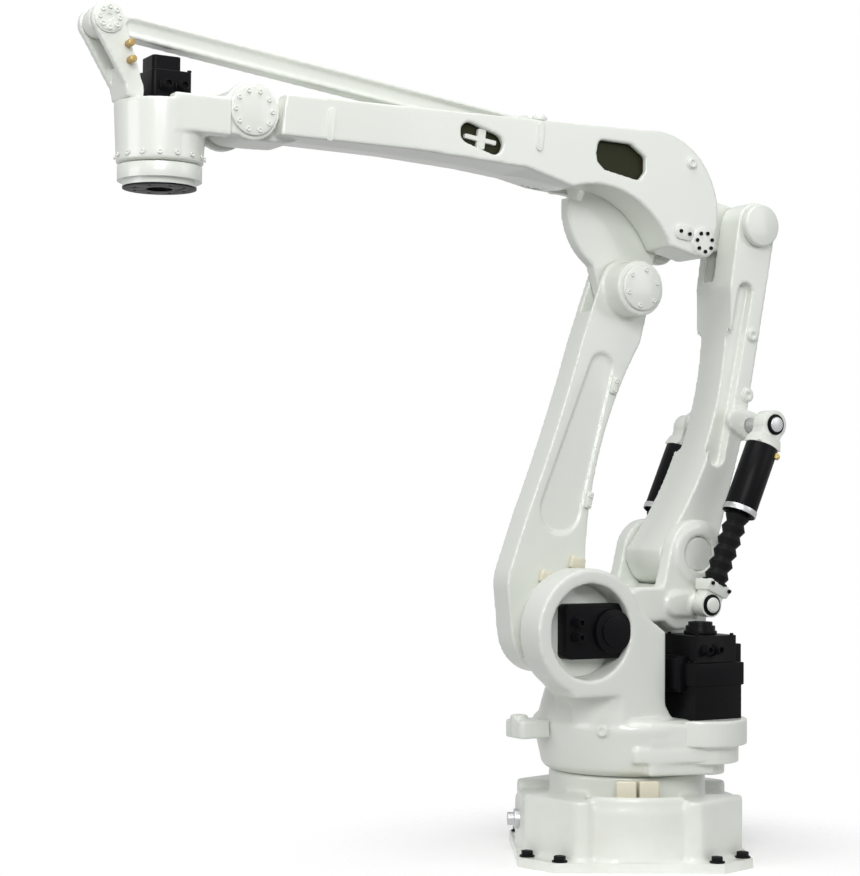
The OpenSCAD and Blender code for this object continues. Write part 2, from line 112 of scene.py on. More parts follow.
fresh()
bpy.ops.mesh.primitive_circle_add(vertices=96, radius=floor_radius, fill_type="NGON")
floor = bpy.context.object
floor.name = "studio_floor"
bpy.ops.object.mode_set(mode="EDIT")
bpy.ops.mesh.select_all(action="SELECT")
bpy.ops.mesh.inset(thickness=floor_rim)
bpy.ops.object.mode_set(mode="OBJECT")
pale = bpy.data.materials.new("studio_floor_sheet")
pale.use_nodes = True
wire, shader = Wire(pale.node_tree), pale.node_tree.nodes["Principled BSDF"]
shader.inputs["Roughness"].default_value = 0.9
shader.inputs["Specular IOR Level"].default_value = 0.0
shader.inputs["Emission Strength"].default_value = 0.3
place = wire.node("TexCoord", out="Object")
grain = wire.node("TexNoise", None, {"Vector": place, "Scale": 0.7, "Detail": 3.0})
sheet_white = (1.0, 1.0, 1.0)
wire.feed(shader.inputs["Base Color"], blend(wire, grain, tone(sheet_white, 0.80), tone(sheet_white, 0.84)))
wire.feed(shader.inputs["Emission Color"], blend(wire, grain, tone(sheet_white, 0.97), tone(sheet_white)))
reach = wire.node("VectorMath", {"operation": "LENGTH"}, {0: place}, "Value")
melt = {0: reach, 1: fade_start, 2: fade_end, 3: 1.0, 4: 0.0}
wire.feed(shader.inputs["Alpha"], wire.node("MapRange", {"interpolation_type": "SMOOTHSTEP"}, melt))
floor.data.materials.append(pale)

sky = bpy.data.worlds.new("studio_white")
sky.use_nodes = True
scene.world = sky
wire, background = Wire(sky.node_tree), sky.node_tree.nodes["Background"]
straight = wire.node("LightPath", out="Is Camera Ray")
shiny = wire.node("LightPath", out="Is Glossy Ray")
through = wire.node("LightPath", out="Is Transmission Ray")
backdrop = wire.sum("MAXIMUM", wire.sum("MAXIMUM", straight, through), shiny * mirrored_wall)
background.inputs["Color"].default_value = (1.0, 1.0, 1.0, 1.0)
wire.feed(background.inputs["Strength"], backdrop * white_wall + room_light)

for name, at, aim, size, power in (
    ("box_left", (0.6, 6.6, 4.4), (0.3, 0.2, 1.3), 3.0, 238.0),
    ("box_right", (-5.0, 2.4, 3.2), (0.0, 0.0, 1.0), 2.6, 40.0),
    ("box_top", (0.8, 1.4, 6.0), (0.5, 0.3, 1.0), 3.6, 118.0),
    ("box_front", (5.0, 2.6, 2.0), (0.6, 0.3, 1.2), 2.2, 46.0),
):
    lamp = bpy.data.lights.new(name, "AREA")
    lamp.size, lamp.energy = size, power
    holder = bpy.data.objects.new(name, lamp)
    scene.collection.objects.link(holder)
    holder.location = at
    holder.rotation_euler = (Vector(aim) - Vector(at)).to_track_quat("-Z", "Y").to_euler()

# Camera. It stands a little over seven metres off, at chest height, and looks slightly upwards
# with a long lens, square to the arm's plane but for thirty degrees. The picture is 860 x 876.
joint_at = {j["name"]: Vector(j["pos_m"]) for j in frame["joints"]}
across = Vector(next(j["axis"] for j in frame["joints"] if j["name"] == "j2_lower_arm"))
upright = Vector((0, 0, 1))
ahead = across.cross(upright)


def arm_point(x, y, z):
    """A place or a way in the plane of the arm: forward, to its left, and up, in metres."""
    return ahead * x + across * y + upright * z


def turn_to(x, y, z):
    """The turn that lays a piece's own three directions along others."""
    return Matrix((x, y, z)).transposed().to_4x4()


camera_spot = arm_point(4.1214, 5.5959, 1.1912)
yaw, pitch, roll = 0.5361, 0.0334, -0.0073
image_width, focal_pixels, sensor_width = 860.0, 2000.0, 36.0
look = arm_point(-math.sin(yaw) * math.cos(pitch), -math.cos(yaw) * math.cos(pitch), math.sin(pitch))
level_right = look.cross(upright).normalized()
level_up = level_right.cross(look)
right = level_right * math.cos(roll) - level_up * math.sin(roll)
lens = bpy.data.cameras.new("studio_camera")
lens.sensor_fit, lens.sensor_width = "HORIZONTAL", sensor_width
lens.lens = focal_pixels * sensor_width / image_width
camera = bpy.data.objects.new("studio_camera", lens)
scene.collection.objects.link(camera)
camera.matrix_world = Matrix.Translation(camera_spot) @ turn_to(right, right.cross(look), -look)
scene.camera = camera

# Base. One grey-iron casting: a drum with a raised panel, on a wide foot. Its skin is fettled, rounded
# over at every edge and sprayed with thick white enamel that keeps a faint orange peel.
foot_top, foot_lap = 0.032, 0.008
drum_radius, drum_low, drum_high = 0.383, 0.030, 0.200


def enamel(name, colour, grime, gloss, sheen=0.5, coat_weight=0.5):
    """Sprayed paint over a cast skin: slow mottle, peel of two millimetres, dust where the foot is near."""
    paint = bpy.data.materials.new(name)
    paint.use_nodes = True
    wire, shader = Wire(paint.node_tree), paint.node_tree.nodes["Principled BSDF"]
    place = wire.node("TexCoord", out="Object")
    mottle = wire.node("TexNoise", None, {"Vector": place, "Scale": 2.6, "Detail": 5.0, "Roughness": 0.62})
    specks = wire.node("TexNoise", None, {"Vector": place, "Scale": 150.0, "Detail": 2.0})
    skin = wire.node("TexNoise", None, {"Vector": place, "Scale": 38.0, "Detail": 3.0, "Roughness": 0.5})
    peel = wire.node("TexNoise", None, {"Vector": place, "Scale": 360.0, "Detail": 1.0})
    height = wire.node("SeparateXYZ", None, {0: place}, "Z")
    low = wire.node("MapRange", None, {0: height, 1: 0.0, 2: 0.5, 3: 1.0, 4: 0.0})
    dust = low * wire.node("ValToRGB", {"stops": ((0.44, 0.0), (0.68, 1.0))}, {0: mottle})
    speckled = wire.node("ValToRGB", {"stops": ((0.66, 0.0), (0.76, 0.35))}, {0: specks})
    coat = blend(wire, mottle, tone(colour, 0.955), tone(colour, 1.015))
    coat = blend(wire, speckled, coat, tone(colour, 0.9))
    wire.feed(shader.inputs["Base Color"], blend(wire, dust * 0.5, coat, tone(grime)))
    wire.feed(shader.inputs["Roughness"], mottle * 0.14 + dust * 0.2 + gloss)
    shader.inputs["Specular IOR Level"].default_value = sheen
    shader.inputs["Coat Weight"].default_value = coat_weight
    shader.inputs["Coat Roughness"].default_value = 0.1
    relief = {"Strength": 0.35, "Distance": 0.0012, "Height": skin * 0.8 + peel * 0.12}
    wire.feed(shader.inputs["Normal"], wire.node("Bump", None, relief))
    return paint


white_enamel = enamel("white_enamel", (0.80, 0.83, 0.775), (0.60, 0.59, 0.53), 0.26)


def drum(radius, low, high, sides=96, ends="NGON"):
    """An upright cylinder about the swing axis, between two heights."""
    fresh()
    middle = (0, 0, (low + high) / 2)
    bpy.ops.mesh.primitive_cylinder_add(
        vertices=sides, radius=radius, depth=high - low, end_fill_type=ends, location=middle)
    bpy.ops.object.transform_apply(location=True)
    return bpy.context.object


def slice_by(planes):
    """Cuts the piece in edit mode at planes, each a point and a way. What lies that way goes."""
    for point, way in planes:
        bpy.ops.mesh.select_all(action="SELECT")
        bpy.ops.mesh.bisect(plane_co=point, plane_no=way, use_fill=True, clear_outer=True)


def join(pieces):
    """Makes one piece of several, with the first one's name."""
    fresh()
    for piece in pieces:
        piece.select_set(True)
    bpy.context.view_layer.objects.active = pieces[0]
    if len(pieces) > 1:
        bpy.ops.object.join()
    return pieces[0]


def solid_copy(node, name):
    """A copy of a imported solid, merged at its seams, in edit mode."""
    fresh()
    piece = bpy.data.objects.new(name, frame["nodes"][node].data.copy())
    scene.collection.objects.link(piece)
    bpy.context.view_layer.objects.active = piece
    piece.select_set(True)
    bpy.ops.object.mode_set(mode="EDIT")
    bpy.ops.mesh.select_all(action="SELECT")
    bpy.ops.mesh.remove_doubles(threshold=0.00002)
    return piece


def clean():
    """Takes out the slivers that thinning and bevelling leave in the active piece."""
    sliver = 0.00003
    bpy.ops.object.mode_set(mode="EDIT")
    bpy.ops.mesh.select_all(action="SELECT")
    bpy.ops.mesh.remove_doubles(threshold=sliver)
    bpy.ops.mesh.dissolve_degenerate(threshold=sliver)
    bpy.ops.mesh.delete_loose(use_verts=True, use_edges=True, use_faces=False)
    bpy.ops.object.mode_set(mode="OBJECT")


def cast_copy(node, body, voxel=0.005, rounds=6, cuts=(), trim=(), joined=(), web=None):
    """A casting's skin over its solid: cut and trimmed, merged with other solids and with a web that is
    cast on to it, every edge and corner rounded, and thinned on the flats."""
    piece = solid_copy(node, node + "_cast")
    slice_by(cuts)
    bpy.ops.object.mode_set(mode="OBJECT")
    for cutter in trim:
        away = piece.modifiers.new("trimmed", "BOOLEAN")
        away.operation, away.object, away.solver = "DIFFERENCE", cutter, "EXACT"
        bpy.ops.object.modifier_apply(modifier="trimmed")
        bpy.data.objects.remove(cutter)
    added = [solid_copy(other, other + "_joined") for other in joined] + ([web] if web else [])
    join([piece] + added)
    skin = piece.modifiers.new("cast_skin", "REMESH")
    skin.mode, skin.voxel_size = "VOXEL", voxel
    bpy.ops.object.modifier_apply(modifier="cast_skin")
    fettle = piece.modifiers.new("fettled_edges", "SMOOTH")
    fettle.factor, fettle.iterations = 0.5, rounds
    bpy.ops.object.modifier_apply(modifier="fettled_edges")
    lean = piece.modifiers.new("thinned_flats", "DECIMATE")
    lean.ratio = 0.3
    bpy.ops.object.modifier_apply(modifier="thinned_flats")
    clean()
    bpy.ops.object.shade_smooth()
    piece.data.materials.clear()
    piece.data.materials.append(white_enamel)
    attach(piece, body)
    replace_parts(piece, node, *joined)


cast_copy("base_casting", "base", voxel=0.006, rounds=34,
          cuts=[(upright * (foot_top - foot_lap), -upright)],
          joined=("base_panel",), web=drum(drum_radius, drum_low, drum_high, 128))

# Turret. An iron casting in the same enamel, which turns on the base: a bowl, a conical shoulder under
# the lower arm's pot, a wall beside the pot, and three ledges that step round the first gearbox.
ring_out, ring_in, ring_low, ring_high = 0.80, 0.321, 0.4615, 0.5665
shoulder_radius, shoulder_low, shoulder_high = 0.306, 0.464, 0.584
cone_rise, cone_taper = 0.125, 0.72
ring_back, ring_near = 0.02, 0.09
shoulder_back, shoulder_in, shoulder_out = 0.055, 0.014, 0.244
pot_wall_low, pot_wall_high = (0.022, 0.150, 0.455), (0.148, 0.249, 0.930)
pot_wall_slope = ((0.236, 0.2, 0.922), (-0.57, 0, 0.82))
ledge_back, ledge_in, ledge_out, gear_lap = -0.11, 0.20, 0.38, 0.004
swing = turn_to(ahead, across, upright)
gear_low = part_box("j1_gearbox")[0][2]


def pick(piece, test):
    """Selects the faces whose centre and normal pass a test, in edit mode."""
    bpy.context.tool_settings.mesh_select_mode = (False, False, True)
    bpy.ops.object.mode_set(mode="EDIT")
    bpy.ops.mesh.select_all(action="DESELECT")
    bpy.ops.object.mode_set(mode="OBJECT")
    for face in piece.data.polygons:
        face.select = test(face.center, face.normal)
    bpy.ops.object.mode_set(mode="EDIT")


def extrude(rise):
    """Draws the selected faces up, or down where the rise is negative."""
    bpy.ops.mesh.extrude_region_move(TRANSFORM_OT_translate={"value": (0, 0, rise)})


def box(size):
    """A block about the origin, in edit mode with all of it selected."""
    fresh()
    bpy.ops.mesh.primitive_cube_add(size=1.0)
    bpy.ops.object.mode_set(mode="EDIT")
    bpy.ops.transform.resize(value=size)
    return bpy.context.object


def cast_block(low, high, planes=()):
    """A block between two corners in the arm's own directions, sliced by planes, for a casting."""
    low, high = Vector(low), Vector(high)
    block = box(high - low)
    bpy.ops.transform.translate(value=(low + high) / 2)
    slice_by(planes)
    bpy.ops.object.mode_set(mode="OBJECT")
    block.matrix_world = swing
    bpy.ops.object.transform_apply(location=True, rotation=True)
    return block


ring = drum(ring_out, ring_low, ring_high)
pick(ring, lambda centre, normal: abs(normal.z) > 0.9)
bpy.ops.mesh.inset(thickness=ring_out - ring_in)
bpy.ops.mesh.bridge_edge_loops()
slice_by([(ahead * ring_back, -ahead), (across * ring_near, -across)])
bpy.ops.mesh.select_all(action="SELECT")
bpy.ops.mesh.normals_make_consistent(inside=False)
bpy.ops.object.mode_set(mode="OBJECT")

shoulder = drum(shoulder_radius, shoulder_low, shoulder_high)
pick(shoulder, lambda centre, normal: normal.z > 0.9)
extrude(cone_rise)
bpy.ops.transform.resize(value=(cone_taper, cone_taper, 1.0))
slice_by([
    (ahead * shoulder_back, -ahead),
    (across * shoulder_in, -across),
    (across * shoulder_out, across),
])
bpy.ops.object.mode_set(mode="OBJECT")

pot_wall = cast_block(pot_wall_low, pot_wall_high, [pot_wall_slope])
ledges = [
    cast_block((ledge_back, ledge_in, low), (front, ledge_out, high), [(point, way)])
    for low, high, front, point, way in (
        (0.405, 0.474, 0.12, (0.10, 0.305, 0), (0.304, 0.953, 0)),
        (0.346, 0.392, 0.17, (0.155, 0.285, 0), (0.324, 0.946, 0)),
        (gear_low + gear_lap, 0.334, 0.12, (0.10, 0.298, 0), (0.214, 0.977, 0)),
    )
]
cast_copy("turret_casting", "turret", voxel=0.006, rounds=12,
          trim=[ring], web=join([shoulder, pot_wall] + ledges))

# Links and brackets. Box castings for the lower arm, the rear link and the level rod, forked ones for
# the elbow and the wrist, and the turret's front lug and gearbox. They wear the same enamel, and the
# links turn on steel pins.
for node, body in (
    ("front_lug", "turret"),
    ("j1_gearbox", "turret"),
    ("lower_arm", "lower_arm"),
    ("rear_link", "rear_link"),
    ("elbow_bracket", "elbow"),
    ("link_bracket", "wrist"),
    ("level_rod", "level_rod"),
):
    cast_copy(node, body)

# Upper arm. A long hollow casting, deep over the third axis and slim at the wrist. Its underside follows
# a slow bow, given from the wrist back, and lies a little lower at the near wall than at the far one.
under_edge = ((1.322, 2.339), (1.210, 2.338), (0.933, 2.336), (0.644, 2.323),
              (0.464, 2.307), (0.341, 2.283), (0.246, 2.276))
half_width, draft = 0.138, 0.016
lap, shave_width, shave_depth = 0.001, 0.2, 0.3
shaved = []
for (x0, z0), (x1, z1) in zip(under_edge, under_edge[1:]):
    slope = Vector((0, -half_width, draft)).cross(Vector((x0 - x1, 0, z0 - z1))).normalized()
    shaved.append(cast_block(
        (x1 - lap, -shave_width, z1 - shave_depth),
        (x0 + lap, shave_width, z0 + shave_depth),
        [((x0, -half_width, z0), slope)]))
cast_copy("upper_arm", "upper_arm", trim=shaved)

# Wrist. A cast drum hangs between two cheeks from the end of the upper arm, in the white enamel. The
# cheeks run on past the wrist pin to the front of the drum's neck.
cheek_back, cheek_front, cheek_low, cheek_high = 1.58, 1.765, 2.300, 2.414
cheek_in, cheek_out = 0.090, 0.138
cheeks = [
    cast_block((cheek_back, inner, cheek_low), (cheek_front, outer, cheek_high))
    for inner, outer in ((cheek_in, cheek_out), (-cheek_out, -cheek_in))
]
cast_copy("wrist_casting", "wrist", web=join(cheeks))


# Pivot covers and pads. Turned caps and small milled plates in the same white enamel, their edges
# only broken by a file: they close the elbow, tail and wrist pins, and sit on the lower arm's edge.
def edged(node, body, width, paint=white_enamel, cuts=(), name=None):
    """A machined piece over its solid: cut off at planes if any are given, and its sharp edges broken."""
    piece = solid_copy(node, name or node + "_made")
    slice_by(cuts)
    bpy.ops.mesh.select_all(action="SELECT")
    bpy.ops.mesh.dissolve_limited(angle_limit=math.radians(2.0))
    bpy.ops.mesh.normals_make_consistent(inside=False)
    bpy.ops.object.mode_set(mode="OBJECT")
    broken = piece.modifiers.new("broken_edges", "BEVEL")
    broken.width, broken.segments = width, 2
    broken.limit_method, broken.angle_limit = "ANGLE", math.radians(40)
    broken.use_clamp_overlap = True
    bpy.ops.object.modifier_apply(modifier="broken_edges")
    bpy.ops.object.shade_smooth_by_angle(angle=math.radians(35))
    piece.data.materials.clear()
    piece.data.materials.append(paint)
    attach(piece, body)
    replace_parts(piece, node)
    return piece


for node, body, width in (
    ("elbow_pin_cover", "lower_arm", 0.004),
    ("hose_pads", "lower_arm", 0.002),
    ("rear_pin_covers", "rear_link", 0.007),
    ("wrist_pin_covers", "wrist", 0.003),
):
    edged(node, body, width)

# Foot. The foot of the base is milled flat on top and keeps its crisp outline and spot-faced holes. It
# is the lower slice of the base's solid, and the cast drum above laps into it.
above_spot_faces = 0.0005
edged("base_casting", "base", 0.003,
      cuts=[(upright * (foot_top + above_spot_faces), upright)], name="base_foot")

# Cover screws. Socket-head cap screws hold every cover: those of the wrist and the elbow are painted
# over with the casting, and those of the tail boss are black oxide steel.
motor_black = enamel("motor_black", (0.0042, 0.0042, 0.0052), (0.02, 0.02, 0.02), 0.34, 0.09, 0.02)


def finish_piece(piece, width, paint):
    """Breaks a modelled piece's edges, smooths it and paints it."""
    bpy.ops.object.mode_set(mode="OBJECT")
    broken = piece.modifiers.new("broken_edges", "BEVEL")
    broken.width, broken.segments, broken.limit_method = width, 2, "ANGLE"
    bpy.ops.object.modifier_apply(modifier="broken_edges")
    clean()
    bpy.ops.object.shade_smooth_by_angle(angle=math.radians(35))
    piece.data.materials.append(paint)
    return piece


def step(piece, inwards, rise):
    """Insets the top of a piece and draws the inner face up, or down for a socket."""
    bpy.ops.object.mode_set(mode="OBJECT")
    top = max(v.co.z for v in piece.data.vertices)
    pick(piece, lambda centre, normal: normal.z > 0.9 and centre.z > top - 1e-6)
    bpy.ops.mesh.inset(thickness=inwards)
    extrude(rise)


def turned(name, steps, width, paint, socket=None, sides=32):
    """A turned piece standing on z = 0: steps of (radius, top), and a (radius, depth) socket in the top."""
    radius, top = steps[0]
    piece = drum(radius, 0, top, sides)
    piece.name = name
    for next_radius, next_top in steps[1:]:
        step(piece, radius - next_radius, next_top - top)
        radius, top = next_radius, next_top
    if socket:
        step(piece, radius - socket[0], -socket[1])
    return finish_piece(piece, width, paint)


def stand(at, out, upward):
    """Where a piece goes that is modelled with z outwards and y upwards."""
    side = upward.cross(out).normalized()
    return Matrix.Translation(at) @ turn_to(side, out.cross(side), out)


def ring_of(seat, radius, count, turn=0.0):
    """Places round a circle on a seat."""
    turns = [turn + math.tau * k / count for k in range(count)]
    return [seat @ Matrix.Rotation(t, 4, "Z") @ Matrix.Translation((radius, 0, 0)) for t in turns]


def copies(master, seats, name, body, keep=False):
    """Sets a copy of a modelled piece on each seat, and joins the copies to one piece that rides on a
    body. The master goes, unless it is kept for more copies."""
    fresh()
    for seat in seats:
        twin = bpy.data.objects.new(name, master.data.copy())
        scene.collection.objects.link(twin)
        twin.matrix_world = seat
        twin.select_set(True)
        bpy.context.view_layer.objects.active = twin
    if len(seats) > 1:
        bpy.ops.object.join()
    bpy.ops.object.transform_apply(location=True, rotation=True, scale=True)
    piece = bpy.context.object
    piece.name = name
    if not keep:
        bpy.data.objects.remove(master)
    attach(piece, body)
    return piece


upper_pin, wrist_at = joint_at["j3_upper_arm"], joint_at["wrist_pin"]
lower_pin, elbow_at = joint_at["j2_lower_arm"], joint_at["elbow_pin"]
along = (wrist_at - upper_pin).normalized()
over = along.cross(across)
up_link = (elbow_at - lower_pin).normalized()
fore_link = across.cross(up_link)


def on_upper(x, z, y):
    """A place on the upper arm: along it from the third axis, over that line, and to the left."""
    return upper_pin + along * x + over * z + across * y


def on_lower(x, z, y, foot=lower_pin):
    """A place on the lower arm or rear link: forward of its line, up it, and to the left."""
    return foot + fore_link * x + up_link * z + across * y


def near_face(node):
    """How far to the left a node reaches."""
    return max(v.co.dot(across) for v in frame["nodes"][node].data.vertices)


painted_screw = turned("painted_screw", [(0.0072, 0.0055)], 0.0012, white_enamel,
                       socket=(0.0036, 0.003), sides=20)
black_screw = turned("black_screw", [(0.0066, 0.006)], 0.001, motor_black,
                     socket=(0.0034, 0.003), sides=20)
wrist_circle, elbow_circle, tail_circle = 0.062, 0.063, 0.033
tail_x, tail_z = -0.242, -0.080
wrist_out = across * near_face("wrist_pin_covers")
copies(painted_screw,
       ring_of(stand(wrist_at + wrist_out, across, upright), wrist_circle, count=10)
       + ring_of(stand(wrist_at - wrist_out, -across, upright), wrist_circle, count=10),
       "wrist_cover_screws", "wrist", keep=True)
elbow_seat = stand(elbow_at + across * near_face("elbow_pin_cover"), across, upright)
copies(painted_screw, ring_of(elbow_seat, elbow_circle, count=6, turn=0.3),
       "elbow_cover_screws", "lower_arm", keep=True)
tail_seat = stand(on_upper(tail_x, tail_z, near_face("upper_arm")), across, over)
copies(black_screw, ring_of(tail_seat, tail_circle, count=7, turn=0.4),
       "tail_boss_screws", "upper_arm", keep=True)

# Foot bolts. Eight black hex-head bolts on thick washers hold the foot to the floor plate, two beside
# each cut corner, in the spot faces of the casting.
bolt_far, bolt_near, bolt_turn = 0.357, 0.257, 0.4
bolt_radius, bolt_high, washer_radius, washer_high = 0.0205, 0.020, 0.0255, 0.005


def corners(x, y):
    """The four places at plus and minus x and y."""
    return [(i * x, k * y) for i in (-1, 1) for k in (-1, 1)]


bolt = join([turned("foot_bolt", [(bolt_radius, bolt_high)], 0.0015, motor_black, sides=6),
             turned("foot_washer", [(washer_radius, washer_high)], 0.001, motor_black)])
bolt_places = corners(bolt_far, bolt_near) + corners(bolt_near, bolt_far)
bolt_seats = [Matrix.Translation((x, y, foot_top)) @ Matrix.Rotation(bolt_turn * k, 4, "Z")
              for k, (x, y) in enumerate(bolt_places)]
copies(bolt, bolt_seats, "foot_bolts", "base")

# Motors of the arm. Servo motors in satin black paint, with lids held by four screws, and round plugs
# in their sides. The shoulder's one fills its pot, on a white flange that closes the pot's floor.
for node, body, width in (
    ("j3_motor", "elbow", 0.005),
    ("j4_motor", "wrist", 0.004),
):
    edged(node, body, width, motor_black)
pot_floor, pot_depth, fuller = across * 0.1655, 0.2158, 1.15
edged("j2_motor", "turret", 0.003, cuts=[(pot_floor, across)], name="j2_flange")
pot_motor = edged("j2_motor", "turret", 0.005, motor_black,
                  [(pot_floor, -across)], "j2_block")
pot_motor.matrix_world = (
    Matrix.Translation(lower_pin) @ Matrix.Scale(fuller, 4, ahead) @ Matrix.Scale(fuller, 4, upright)
    @ Matrix.Translation(-lower_pin))
bpy.ops.object.transform_apply(location=True, rotation=True, scale=True)
plug_steps = [(0.019, 0.008), (0.016, 0.026), (0.0135, 0.034)]
lead_plug = turned("lead_plug", plug_steps, 0.001, motor_black, socket=(0.009, 0.012), sides=28)
pot_face = lower_pin + across * pot_depth
pot_screws = [(x, z) for x in (0.066, -0.100) for z in (-0.058, 0.058)]
pot_plugs = [(0.040, -0.018), (0.040, 0.030)]
copies(black_screw, [stand(pot_face + arm_point(x, 0, z) * fuller, across, upright) for x, z in pot_screws],
       "j2_lid_screws", "turret", keep=True)
copies(lead_plug, [stand(pot_face + arm_point(x, 0, z), across, upright) for x, z in pot_plugs],
       "j2_lead_plugs", "turret", keep=True)
elbow_wall, elbow_motor_depth, elbow_motor_back, elbow_pitch = 0.144, 0.106, 0.060, 0.060
far_face = upper_pin - across * (elbow_wall + elbow_motor_depth) - ahead * elbow_motor_back
elbow_screws = corners(elbow_pitch, elbow_pitch)
copies(black_screw, [stand(far_face + arm_point(x, 0, z), -across, upright) for x, z in elbow_screws],
       "j3_lid_screws", "elbow", keep=True)

# Turret motor. A servo motor in the same black paint, bolted on the first gearbox: a stepped block with
# a wide flange, a screwed lid, a turned encoder cap, two plugs, and a box on its front and its back.
motor_spot = arm_point(-0.1249, 0.2450, 0.484)
block_side, block_high = 0.196, 0.113
flange_high, flange_widen, lid_high, lid_narrow = 0.075, 1.06, 0.090, 0.82
lid_pitch, flange_long, flange_wide, sunk = 0.074, 0.094, 0.060, 0.0001
cap_steps = [(0.056, 0.012), (0.050, 0.029), (0.041, 0.042)]
turret_plugs = [(0.050, 0.085, 0.232), (0.005, 0.085, 0.232)]
rear_box, front_box = arm_point(-0.122, 0, 0.185), arm_point(0.105, 0, 0.150)
side_box_size, side_box_rim, side_box_rise = (0.09, 0.12, 0.036), 0.009, 0.006
tower = box((block_side, block_side, block_high))
bpy.ops.transform.translate(value=(0, 0, block_high / 2))
for height, widen in ((flange_high, flange_widen), (lid_high, lid_narrow)):
    bpy.ops.object.mode_set(mode="OBJECT")
    top = max(v.co.z for v in tower.data.vertices)
    pick(tower, lambda centre, normal: centre.z > top - 1e-5)
    extrude(0)
    bpy.ops.transform.resize(value=(widen, widen, 1.0))
    extrude(height)
finish_piece(tower, 0.004, motor_black)
at_motor = Matrix.Translation(motor_spot) @ swing
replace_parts(copies(tower, [at_motor], "j1_motor_block", "turret"), "j1_motor")
lid = at_motor @ Matrix.Translation((0, 0, block_high + flange_high + lid_high))
cap = turned("cap_master", cap_steps, 0.002, motor_black, sides=40)
copies(cap, [lid], "j1_motor_cap", "turret")
copies(black_screw, [lid @ Matrix.Translation((x, y, 0)) for x, y in corners(lid_pitch, lid_pitch)],
       "j1_lid_screws", "turret", keep=True)
flange_seats = [lid @ Matrix.Translation((x, y, -lid_high - sunk))
                for x, y in corners(flange_long, flange_wide)]
copies(black_screw, flange_seats, "j1_flange_screws", "turret", keep=True)
copies(lead_plug, [stand(motor_spot + arm_point(*spot), across, upright) for spot in turret_plugs],
       "j1_lead_plugs", "turret", keep=True)
side_box = box(side_box_size)
step(side_box, side_box_rim, side_box_rise)
finish_piece(side_box, 0.003, motor_black)
box_seats = [stand(motor_spot + rear_box, -ahead, upright), stand(motor_spot + front_box, ahead, upright)]
copies(side_box, box_seats, "j1_side_box", "turret")

# Tool flange. A turned and drilled steel flange under the wrist drum: its ring is painted white, its
# face and the floor of its bore are black. The wrist's motor on top has lid screws and two plugs.
tool_at = Vector((joint_at["j4_tool"].x, joint_at["j4_tool"].y, wrist_at.z))
tool_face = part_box("tool_flange")[0][2]
face_thick, bore_deep = 0.0045, 0.0148
wrist_motor, wrist_lid_high = tool_at - ahead * 0.012, 0.108
wrist_pitch, wrist_shift = 0.054, 0.004
wrist_plugs = [(-0.026, 0.064, 0.060), (0.026, 0.064, 0.060)]
edged("tool_flange", "tool", 0.003,
      cuts=[(upright * (tool_face + face_thick), -upright)], name="tool_flange_ring")
edged("tool_flange", "tool", 0.0015, motor_black,
      [(upright * (tool_face + face_thick + sunk), upright)], "tool_flange_face")
bore_floor = turned("bore_floor_master", [(0.0395, 0.0105)], 0.0003, motor_black,
                    socket=(0.0380, 0.0095), sides=40)
bore_spot = Vector((tool_at.x, tool_at.y, tool_face + bore_deep))
copies(bore_floor, [stand(bore_spot, -upright, ahead)], "tool_bore_floor", "tool")
lid = Matrix.Translation(wrist_motor + upright * wrist_lid_high) @ swing
wrist_screws = [(x - wrist_shift, y, 0) for x, y in corners(wrist_pitch, wrist_pitch)]
copies(black_screw, [lid @ Matrix.Translation(spot) for spot in wrist_screws],
       "j4_lid_screws", "wrist", keep=True)
copies(lead_plug, [stand(wrist_motor + arm_point(*spot), across, upright) for spot in wrist_plugs],
       "j4_lead_plugs", "wrist")


# Steel and brass. The balancers' cross pin and the base's round socket are turned in bright steel, and
# the two grease fittings, screwed into the wrist, in brass. All are left bare.
def metal(name, colour, rough):
    """Turned metal: fine scratches and a slow stain."""
    bare = bpy.data.materials.new(name)
    bare.use_nodes = True
    wire, shader = Wire(bare.node_tree), bare.node_tree.nodes["Principled BSDF"]
    place = wire.node("TexCoord", out="Object")
    stain = wire.node("TexNoise", None, {"Vector": place, "Scale": 14.0, "Detail": 4.0})
    scratch = wire.node("TexNoise", None, {"Vector": place, "Scale": 420.0, "Detail": 2.0})
    wire.feed(shader.inputs["Base Color"], blend(wire, stain, tone(colour, 0.82), tone(colour)))
    wire.feed(shader.inputs["Roughness"], stain * 0.18 + scratch * 0.1 + rough)
    shader.inputs["Metallic"].default_value = 1.0
    relief = {"Strength": 0.25, "Distance": 0.0004, "Height": scratch}
    wire.feed(shader.inputs["Normal"], wire.node("Bump", None, relief))
    return bare


turned_steel = metal("turned_steel", (0.62, 0.63, 0.64), 0.24)
plain_brass = metal("plain_brass", (0.50, 0.36, 0.15), 0.30)
edged("balancer_cross_pin", "rear_link", 0.003, turned_steel)
edged("base_connector", "base", 0.002, turned_steel)
edged("grease_fittings", "wrist", 0.002, plain_brass)

# Balancers. Each gas spring has a white clevis and yoke at both ends, on washers and a capped pin, a
# black tube with a bright steel band and a small yellow valve tag, and a rubber bellows over its rod.
bellows_rubber = enamel("bellows_rubber", (0.0060, 0.0060, 0.0066), (0.02, 0.02, 0.02), 0.46, 0.12, 0.0)
tag_yellow = enamel("tag_yellow", (0.72, 0.54, 0.10), (0.4, 0.3, 0.1), 0.4)
balancer_y, top_clevis, foot_clevis, split = 0.225, 0.084, 0.072, 0.0002
band_radius, band_wide, band_wall, band_at = 0.0600, 0.020, 0.0028, 0.318
foot_washer_out, top_washer_out, pin_end_out = 0.0265, 0.0305, 0.0333
yoke_size, yoke_taper, yoke_rim, yoke_rise = (0.104, 0.084, 0.036), 0.84, 0.010, 0.006
foot_yoke_at, top_yoke_at = 0.058, 0.064
yoke_screw_at, yoke_screw_out, yoke_screw_pitch = 0.066, 0.0412, 0.038
